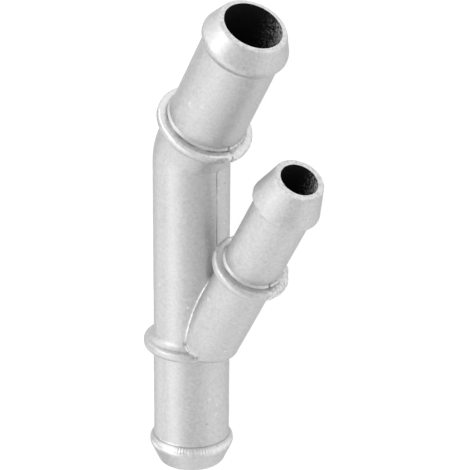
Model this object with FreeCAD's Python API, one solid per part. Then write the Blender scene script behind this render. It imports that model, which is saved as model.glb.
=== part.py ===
import FreeCAD, Part
import math
import os

# A cast aluminium coolant hose Y adapter, one piece, lying with its parting plane level.
# The straight trunk runs along +Y from the inlet port at the origin. The outlet leg bends
# away from the trunk's top and the smaller branch leaves its side, parallel to the outlet leg.
# All three axes lie in the parting plane, which is the XY plane. Sizes are in millimetres.

# Layout of the three legs
leg_angle = 31.2
branch_axis_below_stop = 9.0
bend_above_stop = 54.3
outlet_reach = 45.7
bend_inside_radius = 0.3

# Main passage and walls
main_spigot_radius = 10.0
main_bore_radius = 7.5
trunk_radius = 9.92
inlet_spigot_length = 33.45
outlet_spigot_length = 34.2

# Branch passage and walls
branch_spigot_radius = 7.5
branch_bore_radius = 4.85
branch_body_radius = 7.53
branch_spigot_length = 32.8
branch_neck_length = 10.2
heel_wall = 2.0

# Hose barb of the two main ports
main_lip_radius = 8.75
main_lip_bevel = 0.55
main_cone_length = 5.8
main_crest_radius = 11.4
main_crest_round = 2.0
main_step_length = 2.1

# Hose barb of the branch port
branch_lip_radius = 6.4
branch_lip_bevel = 0.3
branch_cone_length = 9.0
branch_crest_radius = 8.9
branch_step_length = 0.6

# Stop bead where a main hose ends
main_bead_radius = 12.55
main_bead_width = 2.0
main_bead_crown = 0.95
main_collar_height = 1.28
main_flank_length = 1.9
main_flank_round = 2.4

# Stop bead where the branch hose ends
branch_bead_radius = 10.03
branch_bead_width = 2.1
branch_bead_crown = 0.95
branch_collar_height = 1.27
branch_flank_length = 1.4
branch_flank_round = 1.6

# Small radii of the mould
branch_root_round = 0.6
heel_round = 3.0

# How far a passage runs out past its port's end face
overlap = 2.0

# How close an edge must lie to a surface or plane to count as lying on it
on_surface_slack = 0.001

UP = FreeCAD.Vector(0, 0, 1)
TRUNK_DIRECTION = FreeCAD.Vector(0, 1, 0)
LEAN = math.radians(leg_angle)
LEG_DIRECTION = FreeCAD.Vector(math.sin(LEAN), math.cos(LEAN), 0)

# Where the branch's and the outlet leg's axes meet the trunk's, measured from the inlet port
BRANCH_MEETS_TRUNK = inlet_spigot_length - branch_axis_below_stop
OUTLET_MEETS_TRUNK = inlet_spigot_length + bend_above_stop
BEND_RADIUS = trunk_radius + bend_inside_radius
BEND_SETBACK = BEND_RADIUS * math.tan(LEAN / 2)
BRANCH_STOP_LENGTH = branch_bead_width + branch_flank_length + branch_flank_round
BRANCH_PLAIN_START = branch_spigot_length + BRANCH_STOP_LENGTH

# Where the upper corner between branch and trunk lies along the branch, and so how far the
# branch's port is from where the two axes meet
FORK_CORNER = (trunk_radius + branch_body_radius * math.cos(LEAN)) / math.sin(LEAN)
BRANCH_REACH = FORK_CORNER + branch_neck_length + BRANCH_PLAIN_START


def rounded_outline(corners):
    """Join (radius, distance, corner round) points by straight edges and tangent arcs."""
    points = [FreeCAD.Vector(r, s, 0) for r, s, _ in corners]
    rounds = [corner[2] for corner in corners]
    edges = []
    start = points[0]
    for i in range(1, len(points) - 1):
        corner = points[i]
        back = (points[i - 1] - corner).normalize()
        ahead = (points[i + 1] - corner).normalize()
        if rounds[i] > 0:
            half = back.getAngle(ahead) / 2
            reach = rounds[i] / math.tan(half)
            middle = (back + ahead).normalize()
            centre = corner + middle * (rounds[i] / math.sin(half))
            arc_start = corner + back * reach
            arc_end = corner + ahead * reach
            arc_middle = centre - middle * rounds[i]
            edges.append(Part.LineSegment(start, arc_start).toShape())
            edges.append(Part.Arc(arc_start, arc_middle, arc_end).toShape())
            start = arc_end
        else:
            edges.append(Part.LineSegment(start, corner).toShape())
            start = corner
    edges.append(Part.LineSegment(start, points[-1]).toShape())
    return edges


def crown(start, end, top_radius):
    """Return a bead's rounded top, one smooth curve of that height between its two side faces."""
    side_radius = start.x
    handle_radius = (4 * top_radius - side_radius) / 3
    curve = Part.BezierCurve()
    start_handle = FreeCAD.Vector(handle_radius, start.y, 0)
    end_handle = FreeCAD.Vector(handle_radius, end.y, 0)
    curve.setPoles([start, start_handle, end_handle, end])
    return curve.toShape()


def turned_leg(barb, spigot_radius, spigot_length, bead, body_radius, length):
    """Turn one leg about +Y with its port end at the origin and its body running up to length."""
    step_end = barb["cone"] + barb["step"]
    bead_side = bead["radius"] - bead["crown"]
    bead_back = spigot_length + bead["width"]
    bevel = barb["bevel"]
    port_side = [
        (0, 0, 0),
        (barb["lip"] - bevel, 0, 0),
        (barb["lip"] + bevel / 2, bevel, 0),
        (barb["crest"], barb["cone"], barb["crest_round"]),
        (spigot_radius, step_end, 0),
        (spigot_radius, spigot_length, 0),
        (bead_side, spigot_length, 0),
    ]
    body_side = [
        (bead_side, bead_back, 0),
        (bead["collar"], bead_back, 0),
        (body_radius, bead_back + bead["flank"], bead["flank_round"]),
        (body_radius, length, 0),
        (0, length, 0),
        (0, 0, 0),
    ]
    bead_start = FreeCAD.Vector(bead_side, spigot_length, 0)
    bead_end = FreeCAD.Vector(bead_side, bead_back, 0)
    edges = rounded_outline(port_side)
    edges.append(crown(bead_start, bead_end, bead["radius"]))
    edges.extend(rounded_outline(body_side))
    outline = Part.Face(Part.Wire(edges))
    return outline.revolve(FreeCAD.Vector(0, 0, 0), TRUNK_DIRECTION, 360)


def stand_at_port(leg, port, inward):
    """Move a leg built at the origin so that its port end is at port and it runs inward."""
    turn = FreeCAD.Rotation(TRUNK_DIRECTION, inward)
    leg.Placement = FreeCAD.Placement(port, turn)
    return leg


def on_axis(meeting, distance):
    """Return the point at a distance along a slanted leg from where it meets the trunk's axis."""
    return FreeCAD.Vector(0, meeting, 0) + LEG_DIRECTION * distance


def bend(radius):
    """Return the curved length between trunk and outlet leg with the given section radius."""
    bend_start = FreeCAD.Vector(0, OUTLET_MEETS_TRUNK - BEND_SETBACK, 0)
    bend_centre = bend_start + FreeCAD.Vector(BEND_RADIUS, 0, 0)
    ring = Part.Circle(bend_start, TRUNK_DIRECTION, radius)
    section = Part.Face(Part.Wire([ring.toShape()]))
    return section.revolve(bend_centre, UP * -1, leg_angle)


main_barb = {
    "lip": main_lip_radius,
    "bevel": main_lip_bevel,
    "cone": main_cone_length,
    "crest": main_crest_radius,
    "crest_round": main_crest_round,
    "step": main_step_length,
}
branch_barb = {
    "lip": branch_lip_radius,
    "bevel": branch_lip_bevel,
    "cone": branch_cone_length,
    "crest": branch_crest_radius,
    "crest_round": 0,
    "step": branch_step_length,
}
main_bead = {
    "radius": main_bead_radius,
    "width": main_bead_width,
    "crown": main_bead_crown,
    "collar": trunk_radius + main_collar_height,
    "flank": main_flank_length,
    "flank_round": main_flank_round,
}
branch_bead = {
    "radius": branch_bead_radius,
    "width": branch_bead_width,
    "crown": branch_bead_crown,
    "collar": branch_body_radius + branch_collar_height,
    "flank": branch_flank_length,
    "flank_round": branch_flank_round,
}


def trunk_body():
    """Return the inlet leg with the trunk, up to where the bend starts."""
    trunk_length = OUTLET_MEETS_TRUNK - BEND_SETBACK
    return turned_leg(
        main_barb, main_spigot_radius, inlet_spigot_length, main_bead, trunk_radius, trunk_length
    )


def outlet_body():
    """Return the outlet leg from its port down to where the bend ends."""
    leg_length = outlet_reach - BEND_SETBACK
    leg = turned_leg(
        main_barb, main_spigot_radius, outlet_spigot_length, main_bead, trunk_radius, leg_length
    )
    return stand_at_port(leg, on_axis(OUTLET_MEETS_TRUNK, outlet_reach), LEG_DIRECTION * -1)


def branch_leg():
    """Return the branch's barb, spigot and bead, down to where its plain body begins."""
    leg = turned_leg(
        branch_barb,
        branch_spigot_radius,
        branch_spigot_length,
        branch_bead,
        branch_body_radius,
        BRANCH_PLAIN_START,
    )
    return stand_at_port(leg, on_axis(BRANCH_MEETS_TRUNK, BRANCH_REACH), LEG_DIRECTION * -1)


def lies_on_both(edge, one, other):
    """Tell whether an edge runs along the skins of both solids, where one leaves the other."""
    first, last = edge.ParameterRange
    middle = Part.Vertex(edge.valueAt((first + last) / 2))
    shells = one.Shells + other.Shells
    return all(middle.distToShape(shell)[0] < on_surface_slack for shell in shells)


def lies_level(edge, height):
    """Tell whether an edge lies in the plane across the trunk at a height."""
    box = edge.BoundBox
    return max(abs(box.YMin - height), abs(box.YMax - height)) < on_surface_slack


def keep_above(solid, height):
    """Cut off all of a solid that lies below a plane across the trunk."""
    reach = BRANCH_REACH + overlap
    below = Part.makeBox(2 * reach, reach, 2 * reach)
    below.translate(FreeCAD.Vector(-reach, height - reach, -reach))
    return solid.cut(below)


def fork():
    """Join plain trunk and branch, round the root, then cut and round them at the hose stop."""
    trunk_top = OUTLET_MEETS_TRUNK - BEND_SETBACK
    trunk = Part.makeCylinder(trunk_radius, trunk_top, FreeCAD.Vector(0, 0, 0), TRUNK_DIRECTION)
    plain_end = BRANCH_REACH - BRANCH_PLAIN_START
    branch = Part.makeCylinder(
        branch_body_radius, plain_end, on_axis(BRANCH_MEETS_TRUNK, 0), LEG_DIRECTION
    )
    joined = trunk.fuse(branch).removeSplitter()
    root = [edge for edge in joined.Edges if lies_on_both(edge, trunk, branch)]
    joined = joined.makeFillet(branch_root_round, root)
    joined = keep_above(joined, inlet_spigot_length)
    heel = [edge for edge in joined.Edges if lies_level(edge, inlet_spigot_length)]
    return joined.makeFillet(heel_round, heel)


def outer_form():
    """Join the fork with the three ports and the bend."""
    pieces = [trunk_body(), bend(trunk_radius), outlet_body(), branch_leg()]
    return fork().fuse(pieces).removeSplitter()


def passages():
    """Return the main passage with its bend and the branch passage that opens into its side.

    The branch passage ends square, with a wall left between its end and the hose stop.
    """
    straight = Part.makeCylinder(
        main_bore_radius,
        OUTLET_MEETS_TRUNK - BEND_SETBACK + overlap,
        FreeCAD.Vector(0, -overlap, 0),
        TRUNK_DIRECTION,
    )
    outlet = Part.makeCylinder(
        main_bore_radius,
        outlet_reach - BEND_SETBACK + overlap,
        on_axis(OUTLET_MEETS_TRUNK, BEND_SETBACK),
        LEG_DIRECTION,
    )
    branch_floor = inlet_spigot_length + heel_wall + branch_bore_radius * math.sin(LEAN)
    branch_start = (branch_floor - BRANCH_MEETS_TRUNK) / math.cos(LEAN)
    branch = Part.makeCylinder(
        branch_bore_radius,
        BRANCH_REACH + overlap - branch_start,
        on_axis(BRANCH_MEETS_TRUNK, branch_start),
        LEG_DIRECTION,
    )
    return straight.fuse([bend(main_bore_radius), outlet, branch]).removeSplitter()


def y_adapter():
    return outer_form().cut(passages())


os.makedirs("parts", exist_ok=True)
casting = y_adapter()
casting.exportStep("parts/y_adapter_casting.step")
box = casting.BoundBox
print("solids", len(casting.Solids), "valid", casting.isValid(), "volume", round(casting.Volume, 1))
print("box", [round(v, 2) for v in (box.XMin, box.YMin, box.ZMin, box.XMax, box.YMax, box.ZMax)])
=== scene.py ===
import math
from typing import NamedTuple

import bmesh
import bpy
import numpy as np
from mathutils import Euler, Matrix, Vector


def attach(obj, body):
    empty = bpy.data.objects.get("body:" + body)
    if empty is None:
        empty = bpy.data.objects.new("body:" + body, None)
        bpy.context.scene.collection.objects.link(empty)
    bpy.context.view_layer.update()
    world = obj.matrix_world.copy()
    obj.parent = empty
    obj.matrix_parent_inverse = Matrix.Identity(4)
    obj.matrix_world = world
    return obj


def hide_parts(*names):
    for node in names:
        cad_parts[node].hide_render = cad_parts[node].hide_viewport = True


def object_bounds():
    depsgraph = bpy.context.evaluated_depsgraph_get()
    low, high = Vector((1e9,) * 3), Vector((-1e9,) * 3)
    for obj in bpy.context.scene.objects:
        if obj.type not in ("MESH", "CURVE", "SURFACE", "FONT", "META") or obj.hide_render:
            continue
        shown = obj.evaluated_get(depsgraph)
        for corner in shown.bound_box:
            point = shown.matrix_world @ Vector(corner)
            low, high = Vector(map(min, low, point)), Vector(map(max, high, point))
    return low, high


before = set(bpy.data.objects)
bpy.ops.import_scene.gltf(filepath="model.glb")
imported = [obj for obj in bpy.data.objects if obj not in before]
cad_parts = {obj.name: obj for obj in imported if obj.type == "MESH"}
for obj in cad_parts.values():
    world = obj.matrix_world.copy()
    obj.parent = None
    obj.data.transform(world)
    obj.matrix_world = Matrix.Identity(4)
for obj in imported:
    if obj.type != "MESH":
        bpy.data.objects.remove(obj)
cad_low, cad_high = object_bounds()

# A cast aluminium Y adapter for coolant hoses, lying with its parting plane level.
# The trunk runs along +Y from the inlet port. The outlet leg and the branch lean towards +X.
# Sizes are in millimetres up to the point where a mesh is made, and in metres after it.

MM = 0.001

# Layout of the three legs
leg_angle = math.radians(31.2)
hose_stop = 33.45
branch_axis_below_stop = 9.0
bend_above_stop = 54.3
bend_inside_radius = 0.3
outlet_reach = 45.7
outlet_spigot_length = 34.2
branch_spigot_length = 32.8
branch_stop_length = 5.1
branch_neck_length = 10.2

# Tubes
main_spigot_radius = 10.0
main_bore_radius = 7.5
trunk_radius = 9.92
branch_spigot_radius = 7.5
branch_bore_radius = 4.85
branch_body_radius = 7.53
heel_wall = 2.0
heel_below_stop = 0.02

# Where the legs' axes meet the trunk's, and how long the legs are from there. The branch's
# lengths are rounded to a micron.
BRANCH_MEETS_TRUNK = hose_stop - branch_axis_below_stop
OUTLET_MEETS_TRUNK = hose_stop + bend_above_stop
BEND_RADIUS = trunk_radius + bend_inside_radius
BEND_SETBACK = BEND_RADIUS * math.tan(leg_angle / 2)
TRUNK_LENGTH = OUTLET_MEETS_TRUNK - BEND_SETBACK
MAIN_LENGTH = TRUNK_LENGTH + BEND_RADIUS * leg_angle + outlet_reach - BEND_SETBACK
FORK_CORNER = (trunk_radius + branch_body_radius * math.cos(leg_angle)) / math.sin(leg_angle)
BRANCH_PORT_LENGTH = branch_neck_length + branch_stop_length + branch_spigot_length
BRANCH_REACH = round(FORK_CORNER + BRANCH_PORT_LENGTH, 3)
LEG_DIRECTION = Vector((math.sin(leg_angle), math.cos(leg_angle), 0))
LEG_SIDE = Vector((math.cos(leg_angle), -math.sin(leg_angle), 0))

# The branch's underside is cut level just below the hose stop, and its passage ends above it
HEEL_PLANE = hose_stop - heel_below_stop
PASSAGE_FLOOR = hose_stop + heel_wall + branch_bore_radius * math.sin(leg_angle)
BRANCH_FLOOR = round((PASSAGE_FLOOR - BRANCH_MEETS_TRUNK) / math.cos(leg_angle), 3)

# A distance past any size of the adapter, and a length too short to matter
FAR = 100.0
TINY = 1e-6


class Barb(NamedTuple):
    """A hose barb: radii, distances from the port, and how round its corners are."""

    lip: float
    lip_round: float
    crest_place: float
    crest: float
    crest_round: float
    foot: float
    has_burr: bool


class Bead(NamedTuple):
    """A bead that stops a hose, with a collar behind it that runs down to the plain body."""

    radius: float
    width: float
    near_round: float
    far_round: float
    collar: float
    flank: float
    flank_round: float


inlet_barb = Barb(
    lip=8.72, lip_round=0.5, crest_place=5.95, crest=11.42, crest_round=2.0, foot=8.2, has_burr=True
)
outlet_barb = Barb(
    lip=8.72, lip_round=0.9, crest_place=5.8, crest=11.4, crest_round=2.0, foot=7.9, has_burr=False
)
branch_barb = Barb(
    lip=6.4, lip_round=0.4, crest_place=9.0, crest=8.9, crest_round=0.5, foot=9.6, has_burr=False
)
main_bead = Bead(
    radius=12.55, width=2.4, near_round=1.05, far_round=1.0, collar=1.28, flank=1.2, flank_round=2.4
)
branch_bead = Bead(
    radius=10.03, width=2.4, near_round=1.1, far_round=0.9, collar=1.27, flank=0.95, flank_round=1.6
)

# Each bead is fuller on the side away from its port, by this lean
bead_lean = 0.45

# How round the corners are at a barb's foot and behind a bead
barb_foot_round = 0.3
collar_round = 0.5

# Corners of the burr before a barb's foot and of the small step before a bead's face, each as
# height over the spigot, distance before the foot or the face, and how round it is
burr_corners = [(0.16, 0.5, 0.05), (0.24, 0.35, 0.05)]
step_corners = [(0.0, 0.85, 0.4), (0.45, 0.34, 0.06), (0.4, 0.04, 0.06)]


class Value:
    """A number in a node tree. Adding, multiplying and so on adds the Math nodes."""

    def __init__(self, nodes, socket):
        self.nodes = nodes
        self.socket = socket

    def math(self, operation, *others, clamp=False):
        setting = {"operation": operation, "use_clamp": clamp}
        return self.nodes.node("ShaderNodeMath", setting, [self, *others])

    def __add__(self, other):
        return self.math("ADD", other)

    def __sub__(self, other):
        return self.math("SUBTRACT", other)

    def __mul__(self, other):
        return self.math("MULTIPLY", other)

    def __truediv__(self, other):
        return self.math("DIVIDE", other)

    def __rsub__(self, other):
        return self.nodes.number(other).math("SUBTRACT", self)

    __radd__ = __add__
    __rmul__ = __mul__

    def clamp(self):
        return self.math("ADD", 0.0, clamp=True)

    def over(self, low, high):
        """Rise smoothly from 0 at low to 1 at high."""
        setting = {"interpolation_type": "SMOOTHSTEP"}
        sockets = {"Value": self, "From Min": low, "From Max": high}
        return self.nodes.node("ShaderNodeMapRange", setting, sockets)


class Nodes:
    """A node tree that is filled by one method."""

    def __init__(self, tree):
        self.tree = tree

    def node(self, kind, settings=None, inputs=None, output=0):
        """Add a node and return its output, or several where output is a tuple of names."""
        made = self.tree.nodes.new(kind)
        for key, setting in (settings or {}).items():
            setattr(made, key, setting)
        pairs = inputs.items() if isinstance(inputs, dict) else enumerate(inputs or [])
        for key, given in pairs:
            self.feed(made.inputs[key], given)
        if isinstance(output, tuple):
            return [Value(self, made.outputs[name]) for name in output]
        return Value(self, made.outputs[output])

    def feed(self, socket, given):
        if isinstance(given, Value):
            self.tree.links.new(given.socket, socket)
        else:
            socket.default_value = given

    def number(self, value):
        made = self.tree.nodes.new("ShaderNodeValue")
        made.outputs[0].default_value = value
        return Value(self, made.outputs[0])


# Turning and bending a tube from its outline


def turned_tube_tree():
    """Round an outline's corners, turn it about +Y, and bend the tube in the XY plane."""
    tree = bpy.data.node_groups.new("turned_tube", "GeometryNodeTree")
    sockets = [
        ("Outline", "NodeSocketGeometry"),
        ("Segments", "NodeSocketInt"),
        ("Corner Steps", "NodeSocketInt"),
        ("Run Step", "NodeSocketFloat"),
        ("Gather", "NodeSocketFloat"),
        ("Bend Start", "NodeSocketFloat"),
        ("Bend Radius", "NodeSocketFloat"),
        ("Bend Angle", "NodeSocketFloat"),
        ("Material", "NodeSocketMaterial"),
    ]
    for name, kind in sockets:
        tree.interface.new_socket(name=name, in_out="INPUT", socket_type=kind)
    tree.interface.new_socket(name="Tube", in_out="OUTPUT", socket_type="NodeSocketGeometry")
    nodes = Nodes(tree)
    entry = tree.nodes.new("NodeGroupInput")
    given = {name: Value(nodes, entry.outputs[name]) for name, _ in sockets}
    index = nodes.node("GeometryNodeInputIndex")
    place = nodes.node("GeometryNodeInputPosition")

    divided = divided_outline(nodes, given, index, place)
    size = nodes.node("GeometryNodeAttributeDomainSize", {"component": "CURVE"}, [divided])
    sides = {"Vertices X": given["Segments"] + 1, "Vertices Y": size}
    grid = nodes.node("GeometryNodeMeshGrid", None, sides)
    row = (index / size).math("FLOOR")
    column = index - row * size
    sampled = {"Geometry": divided, "Value": place, "Index": column}
    outline_point = nodes.node("GeometryNodeSampleIndex", {"data_type": "FLOAT_VECTOR"}, sampled)

    point = turned_and_bent(nodes, given, row, outline_point)
    tube = nodes.node("GeometryNodeSetPosition", None, {"Geometry": grid, "Position": point})
    tube = nodes.node("GeometryNodeMergeByDistance", None, {"Geometry": tube, "Distance": TINY})
    tube = nodes.node("GeometryNodeSetShadeSmooth", None, [tube])
    finish = {"Geometry": tube, "Material": given["Material"]}
    tube = nodes.node("GeometryNodeSetMaterial", None, finish)
    tube = nodes.node("GeometryNodeRealizeInstances", None, [tube])
    leave = tree.nodes.new("NodeGroupOutput")
    nodes.feed(leave.inputs["Tube"], tube)
    return tree


def divided_outline(nodes, given, index, place):
    """Make the outline a curve with rounded corners and its long runs divided."""
    line = nodes.node("GeometryNodeMeshToCurve", None, [given["Outline"]])
    kept = {"Name": "round"}
    corner_round = nodes.node("GeometryNodeInputNamedAttribute", {"data_type": "FLOAT"}, kept)
    corners = {"Curve": line, "Count": given["Corner Steps"], "Radius": corner_round}
    rounded = nodes.node("GeometryNodeFilletCurve", {"mode": "POLY"}, corners)
    next_place = {"Value": place, "Index": index + 1}
    following = nodes.node("GeometryNodeFieldAtIndex", {"data_type": "FLOAT_VECTOR"}, next_place)
    run = nodes.node("ShaderNodeVectorMath", {"operation": "DISTANCE"}, [place, following], "Value")
    cuts = {"Curve": rounded, "Cuts": run / given["Run Step"]}
    return nodes.node("GeometryNodeSubdivideCurve", None, cuts)


def turned_and_bent(nodes, given, row, outline_point):
    """Return where a point of the outline goes, turned to its row's angle and round the bend.

    Gather draws the rows together where the tube meets the parting plane.
    """
    radius, along = nodes.node("ShaderNodeSeparateXYZ", None, [outline_point], ("X", "Y"))
    even = row * (2 * math.pi) / given["Segments"]
    turn = even + (even * 2).math("SINE") * given["Gather"] / 2
    across = radius * turn.math("SINE")
    height = radius * turn.math("COSINE")

    past = along - given["Bend Start"]
    swung = (past / given["Bend Radius"]).math("MAXIMUM", 0.0).math("MINIMUM", given["Bend Angle"])
    left = past - given["Bend Radius"] * swung
    side = (1 - swung.math("COSINE")) * given["Bend Radius"]
    ahead = swung.math("SINE") * given["Bend Radius"] + given["Bend Start"]
    x = side + swung.math("SINE") * left + swung.math("COSINE") * across
    y = ahead + swung.math("COSINE") * left - swung.math("SINE") * across
    return nodes.node("ShaderNodeCombineXYZ", None, [x, y, height])


def turned_tube(name, corners, tree, material, **sizes):
    """Make a closed tube from (radius, distance, round) corners in millimetres."""
    mesh = bpy.data.meshes.new(name)
    points = [(radius * MM, distance * MM, 0) for radius, distance, _ in corners]
    mesh.from_pydata(points, [(i, i + 1) for i in range(len(points) - 1)], [])
    rounds = mesh.attributes.new("round", "FLOAT", "POINT")
    rounds.data.foreach_set("value", [corner_round * MM for _, _, corner_round in corners])
    obj = bpy.data.objects.new(name, mesh)
    bpy.context.scene.collection.objects.link(obj)
    turning = obj.modifiers.new("turning", "NODES")
    turning.node_group = tree
    entries = [item for item in tree.interface.items_tree if item.in_out == "INPUT"]
    sockets = {item.name: item.identifier for item in entries}
    for socket_name, size in {"Material": material, **sizes}.items():
        turning[sockets[socket_name]] = size
    return settle(obj)


def settle(obj):
    """Replace an object's mesh by what its modifiers make of it."""
    bpy.context.view_layer.update()
    seen = obj.evaluated_get(bpy.context.evaluated_depsgraph_get())
    finished = bpy.data.meshes.new_from_object(seen)
    finished.name = obj.name
    obj.modifiers.clear()
    obj.data = finished
    return obj


def combine(body, tool, operation):
    """Join a tool to a body or cut it away, and remove the tool."""
    step = body.modifiers.new("combine", "BOOLEAN")
    step.operation = operation
    step.solver = "MANIFOLD"
    step.material_mode = "TRANSFER"
    step.object = tool
    settle(body)
    bpy.data.objects.remove(tool)


# Outlines of the legs, as (radius, distance, round) corners


def barb_and_bead(barb, spigot_radius, spigot_length, bead, body_radius):
    """Return the corners from a port to the plain body behind the hose stop."""
    back = spigot_length + bead.width
    flank_start = back + bead_lean
    burr = [(spigot_radius + up, barb.foot - before, turn) for up, before, turn in burr_corners]
    step = [(spigot_radius + up, spigot_length - before, turn) for up, before, turn in step_corners]
    return [
        (0, 0, 0),
        (barb.lip, 0, barb.lip_round),
        (barb.crest, barb.crest_place, barb.crest_round),
        *(burr if barb.has_burr else []),
        (spigot_radius, barb.foot, barb_foot_round),
        *step,
        (bead.radius, spigot_length, bead.near_round),
        (bead.radius, back, bead.far_round),
        (body_radius + bead.collar, flank_start, collar_round),
        (body_radius, flank_start + bead.flank, bead.flank_round),
    ]


def main_outline():
    """Return the corners from the inlet port to the outlet port."""
    inlet = barb_and_bead(inlet_barb, main_spigot_radius, hose_stop, main_bead, trunk_radius)
    outlet = barb_and_bead(
        outlet_barb, main_spigot_radius, outlet_spigot_length, main_bead, trunk_radius
    )
    return inlet + [(radius, MAIN_LENGTH - along, turn) for radius, along, turn in reversed(outlet)]


def branch_outline():
    """Return the corners from the branch port to where its axis meets the trunk's."""
    leg = barb_and_bead(
        branch_barb, branch_spigot_radius, branch_spigot_length, branch_bead, branch_body_radius
    )
    return leg + [(branch_body_radius, BRANCH_REACH, 0), (0, BRANCH_REACH, 0)]


def passage_outline(radius, length, through):
    """Return a passage's outline, with rings close together near its ports.

    The rings ripple by a hundredth of a millimetre so that they stay when the passage is cut.
    """
    past = 2.0
    first_ring = 0.6
    ring_step = 1.2
    near_rings = 12
    long_step = 4.0
    ripple = 0.01
    ripple_turn = 2.4
    near = [first_ring + ring_step * i for i in range(near_rings)]
    last = length - near[-1] if through else length
    steps = round((last - near[-1]) / long_step)
    middle = [near[-1] + (last - near[-1]) * i / steps for i in range(1, steps)]
    end = [length - place for place in reversed(near)] + [length + past] if through else [length]
    places = [-past, *near, *middle, *end]
    wall = [(radius + ripple * math.sin(ripple_turn * i), place, 0) for i, place in enumerate(places)]
    return [(0, -past, 0), *wall, (0, places[-1], 0)]


# Joining the legs


def branch_place():
    """Return the matrix that stands the branch at its port, running inward."""
    port = Vector((0, BRANCH_MEETS_TRUNK, 0)) + LEG_DIRECTION * BRANCH_REACH
    turn = Matrix((-LEG_SIDE, -LEG_DIRECTION, Vector((0, 0, 1)))).transposed().to_4x4()
    return Matrix.Translation(port * MM) @ turn


def block_below_heel(material):
    """Make a block whose top face is a fine grid across the trunk at the heel's plane."""
    low_x, high_x = -14, 18
    low_z, high_z = -10, 10
    cell = 0.45
    depth = 50.0
    wide = high_x - low_x
    deep = high_z - low_z
    shell = bmesh.new()
    bmesh.ops.create_grid(
        shell, x_segments=round(wide / cell), y_segments=round(deep / cell), size=0.5 * MM
    )
    bmesh.ops.transform(shell, matrix=Matrix.Diagonal((wide, deep, 1, 1)), verts=shell.verts)
    middle = Vector(((low_x + high_x) / 2, HEEL_PLANE, (low_z + high_z) / 2)) * MM
    stand = Matrix.Translation(middle) @ Matrix.Rotation(math.radians(-90), 4, "X")
    bmesh.ops.transform(shell, matrix=stand, verts=shell.verts)
    pulled = bmesh.ops.extrude_face_region(shell, geom=shell.faces[:])
    lower = [part for part in pulled["geom"] if isinstance(part, bmesh.types.BMVert)]
    bmesh.ops.translate(shell, vec=(0, -depth * MM, 0), verts=lower)
    bmesh.ops.recalc_face_normals(shell, faces=shell.faces)
    mesh = bpy.data.meshes.new("block")
    mesh.materials.append(material)
    shell.to_mesh(mesh)
    shell.free()
    obj = bpy.data.objects.new("block", mesh)
    bpy.context.scene.collection.objects.link(obj)
    return obj


def joined_form(tree, outside, inside):
    """Turn the legs, join them, and open the passages."""
    fine = {"Corner Steps": 5, "Run Step": 0.62 * MM, "Gather": 0.6}
    plain = {"Segments": 104, "Corner Steps": 1, "Run Step": 6.0 * MM, "Gather": 0.0}
    bent = {"Bend Start": TRUNK_LENGTH * MM, "Bend Radius": BEND_RADIUS * MM, "Bend Angle": leg_angle}
    straight = {"Bend Start": 1.0, "Bend Radius": 1.0, "Bend Angle": 0.0}

    body = turned_tube("y_adapter", main_outline(), tree, outside, Segments=168, **fine, **bent)
    branch = turned_tube("branch", branch_outline(), tree, outside, Segments=136, **fine, **straight)
    branch.data.transform(branch_place())
    combine(branch, block_below_heel(outside), "DIFFERENCE")
    combine(body, branch, "UNION")

    outline = passage_outline(main_bore_radius, MAIN_LENGTH, True)
    core = turned_tube("main_core", outline, tree, inside, **plain, **bent)
    combine(body, core, "DIFFERENCE")
    outline = passage_outline(branch_bore_radius, BRANCH_REACH - BRANCH_FLOOR, False)
    core = turned_tube("branch_core", outline, tree, inside, **plain, **straight)
    core.data.transform(branch_place())
    combine(body, core, "DIFFERENCE")
    return body


# Measures over the surface, as arrays with one row for each point of the mesh


def read_points(mesh):
    """Return a mesh's points in millimetres."""
    flat = np.empty(len(mesh.vertices) * 3)
    mesh.vertices.foreach_get("co", flat)
    return flat.reshape(-1, 3) / MM


def write_points(mesh, points):
    mesh.vertices.foreach_set("co", (points * MM).ravel())
    mesh.update()


def read_normals(mesh):
    flat = np.empty(len(mesh.vertices) * 3)
    mesh.vertex_normals.foreach_get("vector", flat)
    return flat.reshape(-1, 3)


def round_leg(points, meeting, slanted):
    """Return how far along a leg's axis points are, their radius, angle from +Z and outward way."""
    ahead = np.array(LEG_DIRECTION if slanted else (0, 1, 0))
    side = np.array(LEG_SIDE if slanted else (1, 0, 0))
    past = points - np.array((0, meeting, 0))
    along = past @ ahead
    across = past @ side
    height = points[:, 2]
    radius = np.maximum(np.hypot(across, height), TINY)
    outward = (across[:, None] * side + height[:, None] * np.array((0, 0, 1))) / radius[:, None]
    return along, radius, np.arctan2(across, height), outward


def rise(value, low, high):
    """Rise smoothly from 0 at low to 1 at high."""
    share = np.clip((value - low) / (high - low), 0, 1)
    return share * share * (3 - 2 * share)


def hill(value, middle, width):
    """Rise to 1 at the middle and fall away on both sides."""
    return np.exp(-(((value - middle) / width) ** 2))


def waves(points, length, seed):
    """Return an uneven surface of about unit height whose lumps are that length apart."""
    count = 20
    shortest = 0.7
    longest = 1.4
    draw = np.random.default_rng(seed)
    ways = draw.normal(size=(count, 3))
    ways /= np.linalg.norm(ways, axis=1)[:, None]
    pace = 2 * math.pi / (length * draw.uniform(shortest, longest, count))
    start = draw.uniform(0, 2 * math.pi, count)
    return np.sin(points @ (ways * pace[:, None]).T + start).sum(axis=1) * math.sqrt(2 / count)


def layered_waves(points, layers):
    """Return the sum of uneven surfaces that are given as height, length and seed."""
    return sum(height * waves(points, length, seed) for height, length, seed in layers)


def patches(points, middle, swing, length, seed):
    """Return a strength that varies over the surface about its middle."""
    return middle + swing * waves(points, length, seed)


# Rounding where the branch leaves the trunk

# How far off a skin a point may lie and count as on it, and the least slope that is divided by
skin_slack = 0.05
least_slope = 0.05


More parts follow.
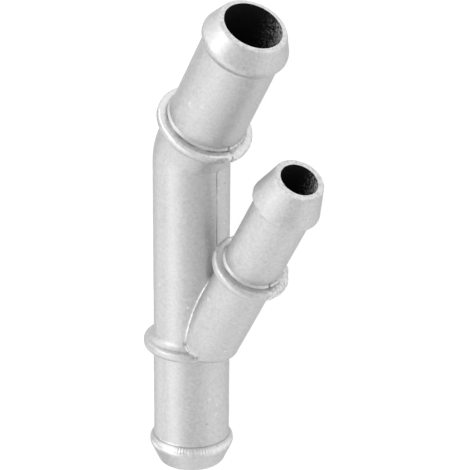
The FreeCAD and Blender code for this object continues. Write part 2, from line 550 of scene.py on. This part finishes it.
def refine_root(obj):
    """Divide the faces along the line where the branch leaves the trunk."""
    near = 1.3
    longest = 0.26
    shell = bmesh.new()
    shell.from_mesh(obj.data)
    for _ in range(2):
        shell.verts.ensure_lookup_table()
        points = np.array([vert.co for vert in shell.verts]) / MM
        _, trunk_way, _, _ = round_leg(points, 0, False)
        _, branch_way, _, _ = round_leg(points, BRANCH_MEETS_TRUNK, True)
        close = np.abs(trunk_way - trunk_radius) < near
        close &= np.abs(branch_way - branch_body_radius) < near
        close &= points[:, 1] > hose_stop
        edges = [edge for edge in shell.edges if all(close[vert.index] for vert in edge.verts)]
        edges = [edge for edge in edges if edge.calc_length() > longest * MM]
        bmesh.ops.subdivide_edges(shell, edges=edges, cuts=1, use_grid_fill=True)
        shell.verts.index_update()
    many = [face for face in shell.faces if len(face.verts) > 4]
    bmesh.ops.triangulate(shell, faces=many)
    shell.to_mesh(obj.data)
    shell.free()


def round_root(points):
    """Move points near the root line onto a rounded corner between the two tubes."""
    root_round = 0.57
    flank_end = hose_stop + 3.4
    fade_length = 1.5
    for _ in range(5):
        _, trunk_way, _, trunk_out = round_leg(points, 0, False)
        _, branch_way, _, branch_out = round_leg(points, BRANCH_MEETS_TRUNK, True)
        off_trunk = trunk_way - trunk_radius
        off_branch = branch_way - branch_body_radius
        reach = root_round * (1 - (trunk_out * branch_out).sum(axis=1))
        short_of_trunk = np.maximum(reach - off_trunk, 0)
        short_of_branch = np.maximum(reach - off_branch, 0)
        length = np.maximum(np.hypot(short_of_trunk, short_of_branch), TINY)
        away = short_of_trunk[:, None] * trunk_out + short_of_branch[:, None] * branch_out
        away /= length[:, None]
        slope = np.maximum((away * away).sum(axis=1), least_slope)
        lift = np.maximum(reach - length, -reach) / slope
        chosen = (off_trunk > -skin_slack) & (off_branch > -skin_slack)
        chosen &= (off_trunk < reach) & (off_branch < reach)
        chosen &= (points[:, 1] > flank_end - 2) & (points[:, 1] < OUTLET_MEETS_TRUNK)
        fade = rise(points[:, 1], flank_end - fade_length, flank_end)
        points = points - (chosen * lift * fade)[:, None] * away
    return points


def round_heel(points):
    """Round the edge where the branch's underside meets the level plane of the hose stop."""
    heel_round = 1.35
    heel_start = 6.0
    on_plane = 0.008
    near_edge = 0.6
    down = np.array((0.0, -1.0, 0.0))
    for _ in range(4):
        _, branch_way, _, branch_out = round_leg(points, BRANCH_MEETS_TRUNK, True)
        below = HEEL_PLANE - points[:, 1]
        outside = branch_way - branch_body_radius
        past_below = below + heel_round
        past_outside = outside + heel_round
        length = np.maximum(np.hypot(past_below, past_outside), TINY)
        away = past_below[:, None] * down + past_outside[:, None] * branch_out
        away /= length[:, None]
        slope = np.maximum((away * away).sum(axis=1), least_slope)
        lift = (length - heel_round) / slope
        chosen = (past_below > 0) & (past_outside > 0) & (below > -heel_round) & (lift > 0)
        chosen &= (below < skin_slack) & (outside < skin_slack)
        chosen &= (below > -on_plane) | (np.abs(outside) < near_edge)
        chosen &= points[:, 0] > heel_start
        points = points - (chosen * lift)[:, None] * away
    return points


def soften_heel(obj):
    """Smooth the corner where the branch's underside comes out of the bead."""
    near = 0.8
    heel_low = hose_stop + 0.3
    heel_high = 38.5
    bead_heights = (hose_stop, 35.2, 35.9, 37.4)
    bead_radii = (12.5, 12.5, 11.2, trunk_radius)
    shell = bmesh.new()
    shell.from_mesh(obj.data)
    points = np.array([vert.co for vert in shell.verts]) / MM
    _, trunk_way, _, _ = round_leg(points, 0, False)
    _, branch_way, _, _ = round_leg(points, BRANCH_MEETS_TRUNK, True)
    bead_way = np.interp(points[:, 1], bead_heights, bead_radii)
    close = np.abs(trunk_way - bead_way) < near
    close &= np.abs(branch_way - branch_body_radius) < near
    close &= (points[:, 1] > heel_low) & (points[:, 1] < heel_high)
    chosen = [vert for vert, is_close in zip(shell.verts, close) if is_close]
    for _ in range(6):
        bmesh.ops.smooth_vert(
            shell, verts=chosen, factor=0.5, use_axis_x=True, use_axis_y=True, use_axis_z=True
        )
    shell.to_mesh(obj.data)
    shell.free()


# The cast surface: unevenness, the parting line, the rough places, painted shade and painted highlights

# Layers of unevenness, each as height, distance between lumps, and seed
casting_layers = [(0.010, 7.0, 3), (0.006, 2.6, 4), (0.004, 1.2, 5)]
lump_layers = [(0.08, 1.7, 8), (0.05, 1.0, 9)]
raw_face_layers = [(0.02, 0.9, 10), (0.02, 2.0, 11)]
sand_layers = [(0.03, 2.4, 12), (0.03, 1.3, 13)]

# Small white grains, small pits with painted shade in them, and the run of a thin lip of metal, seen on
# the casting
grains = [
    (13.4, 107.9, 10.0),
    (11.8, 105.9, 10.0),
    (15.9, 106.1, 9.2),
    (10.0, 78.2, -0.3),
    (15.7, 54.1, 7.3),
    (18.6, 49.8, 7.0),
    (41.7, 82.8, 6.7),
    (9.8, 21.3, 2.0),
    (-1.1, 52.8, 9.9),
    (10.0, 19.0, -0.6),
    (10.0, 16.2, -0.2),
]
pits = [(8.7, 35.6, 7.9), (9.9, 35.3, 7.5), (10.7, 35.4, 6.7), (6.6, 37.9, 7.5)]
lip_run = [(7.4, 38.3, 7.5), (8.6, 36.9, 7.5), (10.4, 35.9, 6.9)]


class Leg(NamedTuple):
    """One leg as the surface's points see it.

    depth is how far in from the port a point lies, way its distance from the leg's axis, turn its
    angle round the axis from +Z, and share how much of it belongs to the leg. widest is past the
    leg's own skin, and slender is between its bore and its skin.
    """

    depth: np.ndarray
    way: np.ndarray
    turn: np.ndarray
    share: np.ndarray
    stop: float
    spigot_radius: float
    widest: float
    slender: float


def see_legs(points):
    """Return the trunk, the outlet leg and the branch as the points see them."""
    outlet_starts = (0, 2)
    outlet_within = 14
    branch_starts = (32, 34)
    branch_within = 11
    trunk_depth, trunk_way, trunk_turn, _ = round_leg(points, 0, False)
    outlet_along, outlet_way, outlet_turn, _ = round_leg(points, OUTLET_MEETS_TRUNK, True)
    branch_along, branch_way, branch_turn, _ = round_leg(points, BRANCH_MEETS_TRUNK, True)
    on_branch = rise(branch_along, *branch_starts) * (branch_way < branch_within)
    on_outlet = rise(outlet_along, *outlet_starts) * (outlet_way < outlet_within) * (1 - on_branch)
    on_trunk = (1 - on_branch) * (1 - on_outlet)
    outlet_depth = outlet_reach - outlet_along
    branch_depth = BRANCH_REACH - branch_along
    main = {"spigot_radius": main_spigot_radius, "widest": 12, "slender": 9}
    thin = {"spigot_radius": branch_spigot_radius, "widest": 9, "slender": 6}
    trunk = Leg(trunk_depth, trunk_way, trunk_turn, on_trunk, hose_stop, **main)
    outlet = Leg(outlet_depth, outlet_way, outlet_turn, on_outlet, outlet_spigot_length, **main)
    branch = Leg(branch_depth, branch_way, branch_turn, on_branch, branch_spigot_length, **thin)
    return trunk, outlet, branch


def parting_line(points, trunk, branch):
    """Return the relief of the line between the mould's halves, and the painted shade along its groove.

    It is a fine groove with raised lips, plain between the fork and the upper bead, where it has
    two darker runs and a hook downwards at its end, and faint elsewhere.
    """
    line_starts = (56, 60)
    line_ends = (85, 86.5)
    line_within = 11
    faint_share = 0.25
    below_middle = 0.17
    hook = (84.3, 86.3)
    hook_drop = 0.6
    lip_place = 0.36
    lip_width = 0.17
    lip_height = 0.03
    groove_width = 0.13
    groove_depth = 0.06
    dark_width = 0.11
    dark_share = 0.5
    darker_share = 0.8
    dark_runs = [(83, 3.5), (67, 5)]
    up = points[:, 1]
    level = points * np.array((1, 1, 0))
    plain = (1 - branch.share) * (trunk.way < line_within) * (points[:, 0] > 0)
    plain = plain * rise(up, *line_starts) * (1 - rise(up, *line_ends))
    faint = faint_share * (1 - plain)
    strength = (plain + faint) * patches(points, middle=0.8, swing=0.35, length=5.0, seed=6)
    middle_height = patches(level, middle=0, swing=0.04, length=9.0, seed=7) - below_middle * plain
    middle_height -= hook_drop * rise(up, *hook)
    seam = points[:, 2] - middle_height
    lips = hill(np.abs(seam), lip_place, lip_width)
    groove = hill(seam, 0, groove_width)
    darker = sum(hill(up, middle, length) for middle, length in dark_runs)
    # Painted shade: the groove's middle is darkened in colour, more along the two darker runs
    painted_shade = plain * hill(seam, 0, dark_width) * (dark_share + darker_share * darker)
    return strength * (lip_height * lips - groove_depth * groove), painted_shade


def rough_beads(points, outlet, branch):
    """Return the relief, the painted shade and the share of painted glints of two beads' rough halves.

    The lower mould half left lumps beside the parting line, which also notches the two beads.
    """
    fork_side_starts = 5
    bead_middle = 1.0
    bead_reach = 1.5
    rough_starts = (-2.5, -0.5)
    rough_ends = (9, 11)
    pock_height = 2.5
    pock_reach = 5.0
    pock_depth = 0.06
    pock_dark = 0.3
    notch_height = 0.05
    notch_width = 0.16
    notch_depth = 0.1
    notch_dark = 0.6
    slot_before_stop = 0.6
    slot_length = 0.6
    slot_height = 0.15
    slot_width = 0.3
    slot_depth = 0.15
    slot_within = (11, 8.5)
    up = points[:, 2]
    down = -up
    fork_side = points[:, 0] > fork_side_starts
    legs = (outlet, branch)
    tops = [leg.share * hill(leg.depth, leg.stop + bead_middle, bead_reach) for leg in legs]
    beads = np.maximum(*tops) * fork_side
    rough_half = beads * rise(down, *rough_starts) * (1 - rise(down, *rough_ends))
    # Painted glints: random patches of the rough halves are coloured brighter and made smoother
    glints = np.clip(patches(points, middle=0.1, swing=1, length=1.2, seed=15), 0, 1)
    holes = np.clip(patches(points, middle=-0.7, swing=1, length=1.0, seed=16), 0, 1)
    pocks = beads * hill(up, pock_height, pock_reach) * holes
    notch = beads * hill(up, notch_height, notch_width)
    foot = np.zeros(len(points))
    for leg, within in zip(legs, slot_within):
        before = hill(leg.depth, leg.stop - slot_before_stop, slot_length)
        foot += leg.share * before * (leg.way < within)
    slot = foot * fork_side * hill(up, slot_height, slot_width)
    relief = rough_half * layered_waves(points, lump_layers)
    relief = relief - pock_depth * pocks - notch_depth * notch - slot_depth * slot
    # Painted shade in the notch, the pocks and the slot
    painted_shade = np.maximum.reduce([notch_dark * notch, pock_dark * pocks, slot])
    return relief, painted_shade, rough_half * glints


def dark_edges(points, legs):
    """Return the painted shade of the sharp lines: before each bead, behind the inlet barb, at two lips.
    """
    groove_width = 0.14
    burr_before_foot = 0.52
    burr_over_spigot = 0.18
    burr_dark = 0.65
    face_before_stop = 0.02
    face_width = 0.2
    face_over_spigot = 0.42
    face_dark = 0.85
    lip_depth = 0.1
    lip_reach = 0.3
    lip_width = 0.2
    lip_dark = 0.35
    outlet_lip = 8.3
    branch_lip = 6.35
    trunk, outlet, branch = legs
    # Patches make the painted shade uneven along the lines
    patchy_shade = np.clip(patches(points, middle=0.55, swing=0.5, length=4.0, seed=14), 0, 1)
    before_burr = hill(trunk.depth, inlet_barb.foot - burr_before_foot, groove_width)
    at_burr = hill(trunk.way, main_spigot_radius + burr_over_spigot, groove_width)
    painted_shade = burr_dark * before_burr * at_burr
    for leg in legs:
        face = hill(leg.depth, leg.stop - face_before_stop, face_width)
        groove = face * hill(leg.way, leg.spigot_radius + face_over_spigot, groove_width)
        painted_shade = np.maximum(painted_shade, face_dark * groove * patchy_shade)
    for leg, ring in ((outlet, outlet_lip), (branch, branch_lip)):
        edge = hill(leg.depth, lip_depth, lip_reach) * hill(leg.way, ring, lip_width)
        painted_shade = np.maximum(painted_shade, lip_dark * edge * patchy_shade)
    return painted_shade


def tool_chatter(points, trunk):
    """Return the share of the fine ridges along the back of the inlet barb's crest."""
    ridge_place = 6.6
    ridge_reach = 0.75
    turn_starts = (0.42, 0.6)
    turn_ends = (1.3, 1.5)
    ridges = trunk.share * hill(trunk.depth, ridge_place, ridge_reach)
    ridges = ridges * rise(trunk.turn, *turn_starts) * (1 - rise(trunk.turn, *turn_ends))
    return ridges * patches(points, middle=0.8, swing=0.25, length=2.0, seed=17)


def highlit_and_worn_crests(points, legs):
    """Return the share of what is smoother and has a painted highlight: two crests and the root line.

    The crests are those of the inlet barb and of the upper bead, also worn smoother.
    """
    crest_reach = 0.9
    crest_highlight_and_wear = 0.7
    starts_below = 0.4
    full_above = 0.3
    ends_above = 3
    root_over_skin = 0.15
    root_width = 0.4
    root_highlight = 0.6
    root_starts = (39, 42)
    trunk, outlet, branch = legs
    highlight_and_wear = np.zeros(len(points))
    for leg, middle, crest in (
        (trunk, inlet_barb.crest_place + 0.5, inlet_barb.crest - 0.7),
        (outlet, outlet.stop + 0.1, main_bead.radius - 1.7),
    ):
        top = hill(leg.depth, middle, crest_reach)
        top = top * rise(leg.way, crest - starts_below, crest + full_above)
        highlight_and_wear = np.maximum(highlight_and_wear, crest_highlight_and_wear * top * (leg.way < crest + ends_above))
    # Painted highlight along the rounded root line
    root_line = hill(trunk.way, trunk_radius + root_over_skin, root_width)
    root_line *= hill(branch.way, branch_body_radius + root_over_skin, root_width)
    return np.maximum(highlight_and_wear, root_highlight * root_line * rise(points[:, 1], *root_starts))


def raw_faces(legs):
    """Return the share of the raw faces of the three ports."""
    fades = (0.05, 0.35)
    faces = [np.abs(leg.depth) + FAR * (leg.way > leg.widest) for leg in legs]
    return 1 - rise(np.minimum.reduce(faces), *fades)


def near_any(points, places, width):
    """Return a hill of unit height at each of the places."""
    found = np.zeros(len(points))
    for place in np.array(places):
        found = np.maximum(found, hill(np.linalg.norm(points - place, axis=1), 0, width))
    return found


def near_run(points, run, width):
    """Return a ridge of unit height along a line through the places."""
    found = np.zeros(len(points))
    for first, last in zip(np.array(run[:-1]), np.array(run[1:])):
        way = last - first
        share = np.clip((points - first) @ way / (way @ way), 0, 1)
        away = np.linalg.norm(points - first - share[:, None] * way, axis=1)
        found = np.maximum(found, hill(away, 0, width))
    return found


def bore_sand(points, legs):
    """Return the sandy relief inside the passages and the share of painted light on one side of them."""
    sand_starts = (0.3, 3)
    bright_side = (-0.6, 0.6)
    bright_fades = (4, 18)
    bright_above = 60
    trunk, outlet, branch = legs
    depth = trunk.depth
    for leg in (outlet, branch):
        depth = np.minimum(depth, leg.depth + FAR * (leg.way > leg.slender))
    side = np.where(outlet.way < outlet.slender, np.sin(outlet.turn), np.sin(branch.turn))
    # Painted light on the side of the outlet's and the branch's passages that light falls on near the
    # mouth
    painted_light_side = rise(side, *bright_side) * (1 - rise(depth, *bright_fades))
    sand = layered_waves(points, sand_layers) * rise(depth, *sand_starts)
    return sand, painted_light_side * (points[:, 1] > bright_above)


def surface_relief(points, inner):
    """Return how far each point stands out, in millimetres, and the shares that the finishes read."""
    grain_width = 0.42
    grain_height = 0.06
    lip_width = 0.24
    lip_height = 0.07
    pit_width = 0.45
    pit_depth = 0.16
    # Painted shade in the pits
    pit_dark = 0.8
    legs = see_legs(points)
    trunk, outlet, branch = legs
    line_relief, line_shade = parting_line(points, trunk, branch)
    bead_relief, bead_shade, painted_glints = rough_beads(points, outlet, branch)
    raw = raw_faces(legs)
    raw_relief = raw * layered_waves(points, raw_face_layers)
    grain = near_any(points, grains, grain_width)
    pit = near_any(points, pits, pit_width)
    lip = near_run(points, lip_run, lip_width)
    sand, painted_light_side = bore_sand(points, legs)
    relief = layered_waves(points, casting_layers) + line_relief + bead_relief + raw_relief
    relief += grain_height * grain + lip_height * lip - pit_depth * pit
    painted_shade = np.maximum.reduce([line_shade, bead_shade, dark_edges(points, legs), pit_dark * pit])
    shares = {
        "raw": np.maximum.reduce([raw, grain, lip]),
        "painted_shade": np.where(inner, 0, painted_shade),
        "chatter": tool_chatter(points, trunk),
        "painted_light_side": painted_light_side,
        "highlight_and_wear": np.maximum(painted_glints, highlit_and_worn_crests(points, legs)),
    }
    return np.where(inner, sand, relief), shares


def give_cast_surface(obj, bore_index):
    """Set the surface's relief in the mesh, and keep the shares that the finishes read."""
    mesh = obj.data
    inner = np.zeros(len(mesh.vertices), bool)
    for face in mesh.polygons:
        if face.material_index == bore_index:
            inner[list(face.vertices)] = True
    points = read_points(mesh)
    relief, shares = surface_relief(points, inner)
    write_points(mesh, points + relief[:, None] * read_normals(mesh))
    for name, share in shares.items():
        kept = mesh.attributes.new(name, "FLOAT", "POINT")
        kept.data.foreach_set("value", share.astype(np.float32))


def crease_mouths(obj):
    """Keep the edge sharp where a passage opens through the outer skin."""
    shell = bmesh.new()
    shell.from_mesh(obj.data)
    for edge in shell.edges:
        if len({face.material_index for face in edge.link_faces}) > 1:
            edge.smooth = False
    shell.to_mesh(obj.data)
    shell.free()


def name_finishes(obj, finishes):
    """Give the faces the finishes by name, and those without one the first finish."""
    mesh = obj.data
    names = [finish.name for finish in finishes]
    present = [names.index(slot.name) if slot and slot.name in names else 0 for slot in mesh.materials]
    indices = [present[face.material_index] for face in mesh.polygons]
    mesh.materials.clear()
    for finish in finishes:
        mesh.materials.append(finish)
    mesh.polygons.foreach_set("material_index", indices)
    mesh.polygons.foreach_set("use_smooth", [True] * len(indices))


# Finishes


def new_finish(name):
    """Return a new material, its empty tree and the place of each point on the object."""
    material = bpy.data.materials.new(name)
    material.use_nodes = True
    material.node_tree.nodes.clear()
    nodes = Nodes(material.node_tree)
    return material, nodes, nodes.node("ShaderNodeTexCoord", None, None, "Object")


def finish_with(nodes, **sockets):
    """End a material in one shader, whose sockets are given with _ for each space."""
    inputs = {name.replace("_", " "): given for name, given in sockets.items()}
    shader = nodes.node("ShaderNodeBsdfPrincipled", None, inputs)
    output = nodes.tree.nodes.new("ShaderNodeOutputMaterial")
    nodes.feed(output.inputs["Surface"], shader)


def noise(nodes, place, scale, **more):
    return nodes.node("ShaderNodeTexNoise", None, {"Vector": place, "Scale": scale, **more})


def mesh_share(nodes, name):
    """Read one of the shares that the mesh keeps."""
    return nodes.node("ShaderNodeAttribute", {"attribute_name": name}, None, "Fac")


def bumped(nodes, height, distance):
    sockets = {"Strength": 1.0, "Distance": distance, "Height": height}
    return nodes.node("ShaderNodeBump", None, sockets, "Normal")


def mix_colour(nodes, share, first, second):
    """Mix two colours. The numbers name the node's factor, its two colours and its result."""
    sockets = {0: share, 6: first, 7: second}
    return nodes.node("ShaderNodeMix", {"data_type": "RGBA"}, sockets, 2)


def grey(level):
    return (level, level, level, 1.0)


def specks(nodes, place):
    """Return the shares of the bright flecks and of the small pits."""
    setting = {"feature": "F1"}
    cells = {"Vector": place, "Scale": 420.0}
    away, cell_colour = nodes.node("ShaderNodeTexVoronoi", setting, cells, ("Distance", "Color"))
    pick_bright, pick_dark = nodes.node(
        "ShaderNodeSeparateColor", None, [cell_colour], ("Red", "Green")
    )
    dot = 1 - away.over(0.05, 0.13)
    return dot * pick_bright.over(0.93, 0.97), dot * pick_dark.over(0.96, 0.98)


def chatter_ridges(nodes, place):
    """Return the fine ridges across the back of the inlet barb's crest."""
    ridges_per_radian = 86.0
    x, z = nodes.node("ShaderNodeSeparateXYZ", None, [place], ("X", "Z"))
    turn = x.math("ARCTAN2", z)
    return (turn * ridges_per_radian).math("SINE") * mesh_share(nodes, "chatter")


def blasted_aluminium():
    """Matt cast aluminium with a fine blasted grain, bright flecks, a few pits, painted shade and
    painted highlights.
    """
    material, nodes, place = new_finish("blasted_aluminium")
    fine = noise(nodes, place, 2600.0, Detail=2.0, Roughness=0.6)
    grain = noise(nodes, place, 1150.0, Detail=2.0)
    cloud = noise(nodes, place, 150.0, Detail=3.0)
    fleck, pit = specks(nodes, place)
    ridges = chatter_ridges(nodes, place)
    raw = mesh_share(nodes, "raw")
    painted_shade = mesh_share(nodes, "painted_shade")
    highlight_and_wear = mesh_share(nodes, "highlight_and_wear")

    dull_metal = grey(0.49)
    clean_metal = grey(0.72)
    # Brighter metal for the raw faces, and for the painted highlights
    bright_metal = grey(0.9)
    bright_fleck = grey(0.97)
    # The grey that the painted shade darkens to, and the small pits of the grain too
    pit_and_shade_grey = grey(0.12)
    grain_depth = 0.00004

    level = (fine - 0.5) + (grain - 0.5) + (cloud - 0.5) * 0.25 + 0.5 + ridges * 0.35
    # Painted highlight: the crests, the root line and the glints are coloured brighter, and the
    # roughness below makes them smoother
    polish_and_highlight = (highlight_and_wear * (grain * 1.4 + 0.1)).clamp()
    speckle = ((grain - 0.5) * 1.6 + 0.6).clamp()
    # Painted shade in the grooves, notches, pocks, slot, lips and pits, with the small dark pits of the
    # grain
    dark = (pit * 0.5 + painted_shade * 0.7).clamp()
    colour = mix_colour(nodes, level.clamp(), dull_metal, clean_metal)
    colour = mix_colour(nodes, polish_and_highlight, colour, bright_metal)
    colour = mix_colour(nodes, raw * speckle, colour, bright_metal)
    colour = mix_colour(nodes, fleck, colour, bright_fleck)
    colour = mix_colour(nodes, dark, colour, pit_and_shade_grey)
    roughness = (grain - 0.5) * 0.2 + (fine - 0.5) * 0.2 + 0.49 + raw * 0.2 - highlight_and_wear * 0.22
    swell = grain * 0.6 + fine * 0.4 + fleck * 0.5 - pit + (raw + highlight_and_wear * 0.5) * grain + ridges
    finish_with(
        nodes,
        Base_Color=colour,
        Metallic=1.0,
        Roughness=roughness,
        Specular_Tint=grey(0.62),
        Normal=bumped(nodes, swell, grain_depth),
    )
    return material


def cored_bore():
    """A sandy cored wall, darker than the outside, painted nearly black as the shade inside the
    passages.
    """
    material, nodes, place = new_finish("cored_bore")
    grain_depth = 0.0001
    grain = noise(nodes, place, 2600.0, Detail=2.0)
    sand = noise(nodes, place, 1500.0, Detail=2.0)
    painted_light_side = mesh_share(nodes, "painted_light_side")
    # Painted light: bright grains on that lit side of the passages
    spark = ((grain - 0.5) * 0.7 + (sand - 0.5) * 0.6 + 0.5 + painted_light_side * 0.12).over(0.45, 0.75)
    finish_with(
        nodes,
        Base_Color=mix_colour(nodes, spark * painted_light_side, grey(0.01), grey(0.6)),
        Metallic=0.2,
        Roughness=0.7,
        Specular_IOR_Level=0.2,
        Normal=bumped(nodes, grain, grain_depth),
    )
    return material


def white_floor():
    """An even white ground that throws back little of the lamps' light."""
    material, nodes, place = new_finish("white_floor")
    finish_with(
        nodes,
        Base_Color=mix_colour(nodes, noise(nodes, place, 3.0), grey(0.10), grey(0.12)),
        Roughness=0.9,
        Emission_Color=grey(1.0),
        Emission_Strength=0.93,
    )
    return material


# The adapter


def make_adapter():
    tree = turned_tube_tree()
    finishes = [blasted_aluminium(), cored_bore()]
    body = joined_form(tree, *finishes)
    name_finishes(body, finishes)
    refine_root(body)
    write_points(body.data, round_heel(round_root(read_points(body.data))))
    soften_heel(body)
    give_cast_surface(body, bore_index=1)
    crease_mouths(body)
    bpy.data.node_groups.remove(tree)
    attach(body, "root")
    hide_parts("y_adapter_casting")


# The room: a white floor, a pale sky with soft lamps all round, and the camera, in metres

floor_reach = 3.0
floor_drop = 0.0002
sky_strength = 0.775
lamp_aim = Vector((0.015, 0.065, 0.0))
lamp_distance = 0.9

# Name, angle round the adapter from +X, angle above the floor, power and size
soft_lamps = [
    ("top_back", 120, 65, 1.95, 0.5),
    ("top_left", 240, 65, 0.7, 0.5),
    ("back_low", 140, 27, 1.1, 0.75),
    ("left_low", 208, 25, 0.5, 0.5),
    ("front_low", 270, 15, 0.35, 0.5),
    ("front", 270, 45, 0.3, 0.5),
    ("top_front", 295, 64, 0.27, 0.5),
]

# The camera stands where the photo was taken from. Its film and lens are in millimetres.
camera_place = (0.399683, 0.283417, 0.321664)
camera_turn = Euler((-0.3942, 0.8744, 0.0117))
film_width = 36
focal_length = 165.42
farthest_seen = 20


def make_floor():
    shell = bmesh.new()
    bmesh.ops.create_grid(shell, x_segments=8, y_segments=8, size=floor_reach)
    mesh = bpy.data.meshes.new("floor")
    shell.to_mesh(mesh)
    shell.free()
    mesh.transform(Matrix.Translation((0, 0, cad_low.z - floor_drop)))
    mesh.materials.append(white_floor())
    floor = bpy.data.objects.new("floor", mesh)
    bpy.context.scene.collection.objects.link(floor)


def hang_lamp(name, azimuth, elevation, power, size):
    """Hang a round lamp at an angle round and above the adapter, turned to its middle."""
    lamp = bpy.data.lights.new(name, "AREA")
    lamp.shape = "DISK"
    lamp.size = size
    lamp.energy = power
    light = bpy.data.objects.new(name, lamp)
    turn = Euler((0, -math.radians(elevation), math.radians(azimuth)))
    way = turn.to_matrix() @ Vector((1, 0, 0))
    light.location = lamp_aim + lamp_distance * way
    light.rotation_euler = (-way).to_track_quat("-Z", "Y").to_euler()
    bpy.context.scene.collection.objects.link(light)


def make_room():
    world = bpy.data.worlds.new("room")
    bpy.context.scene.world = world
    world.use_nodes = True
    background = world.node_tree.nodes["Background"]
    background.inputs["Color"].default_value = grey(1.0)
    background.inputs["Strength"].default_value = sky_strength
    for lamp in soft_lamps:
        hang_lamp(*lamp)


def make_camera():
    camera = bpy.data.cameras.new("camera")
    camera.sensor_width = film_width
    camera.lens = focal_length
    camera.clip_end = farthest_seen
    holder = bpy.data.objects.new("camera", camera)
    holder.location = camera_place
    holder.rotation_euler = camera_turn
    bpy.context.scene.collection.objects.link(holder)
    bpy.context.scene.camera = holder
    bpy.context.scene.view_settings.view_transform = "Standard"


make_adapter()
make_floor()
make_room()
make_camera()
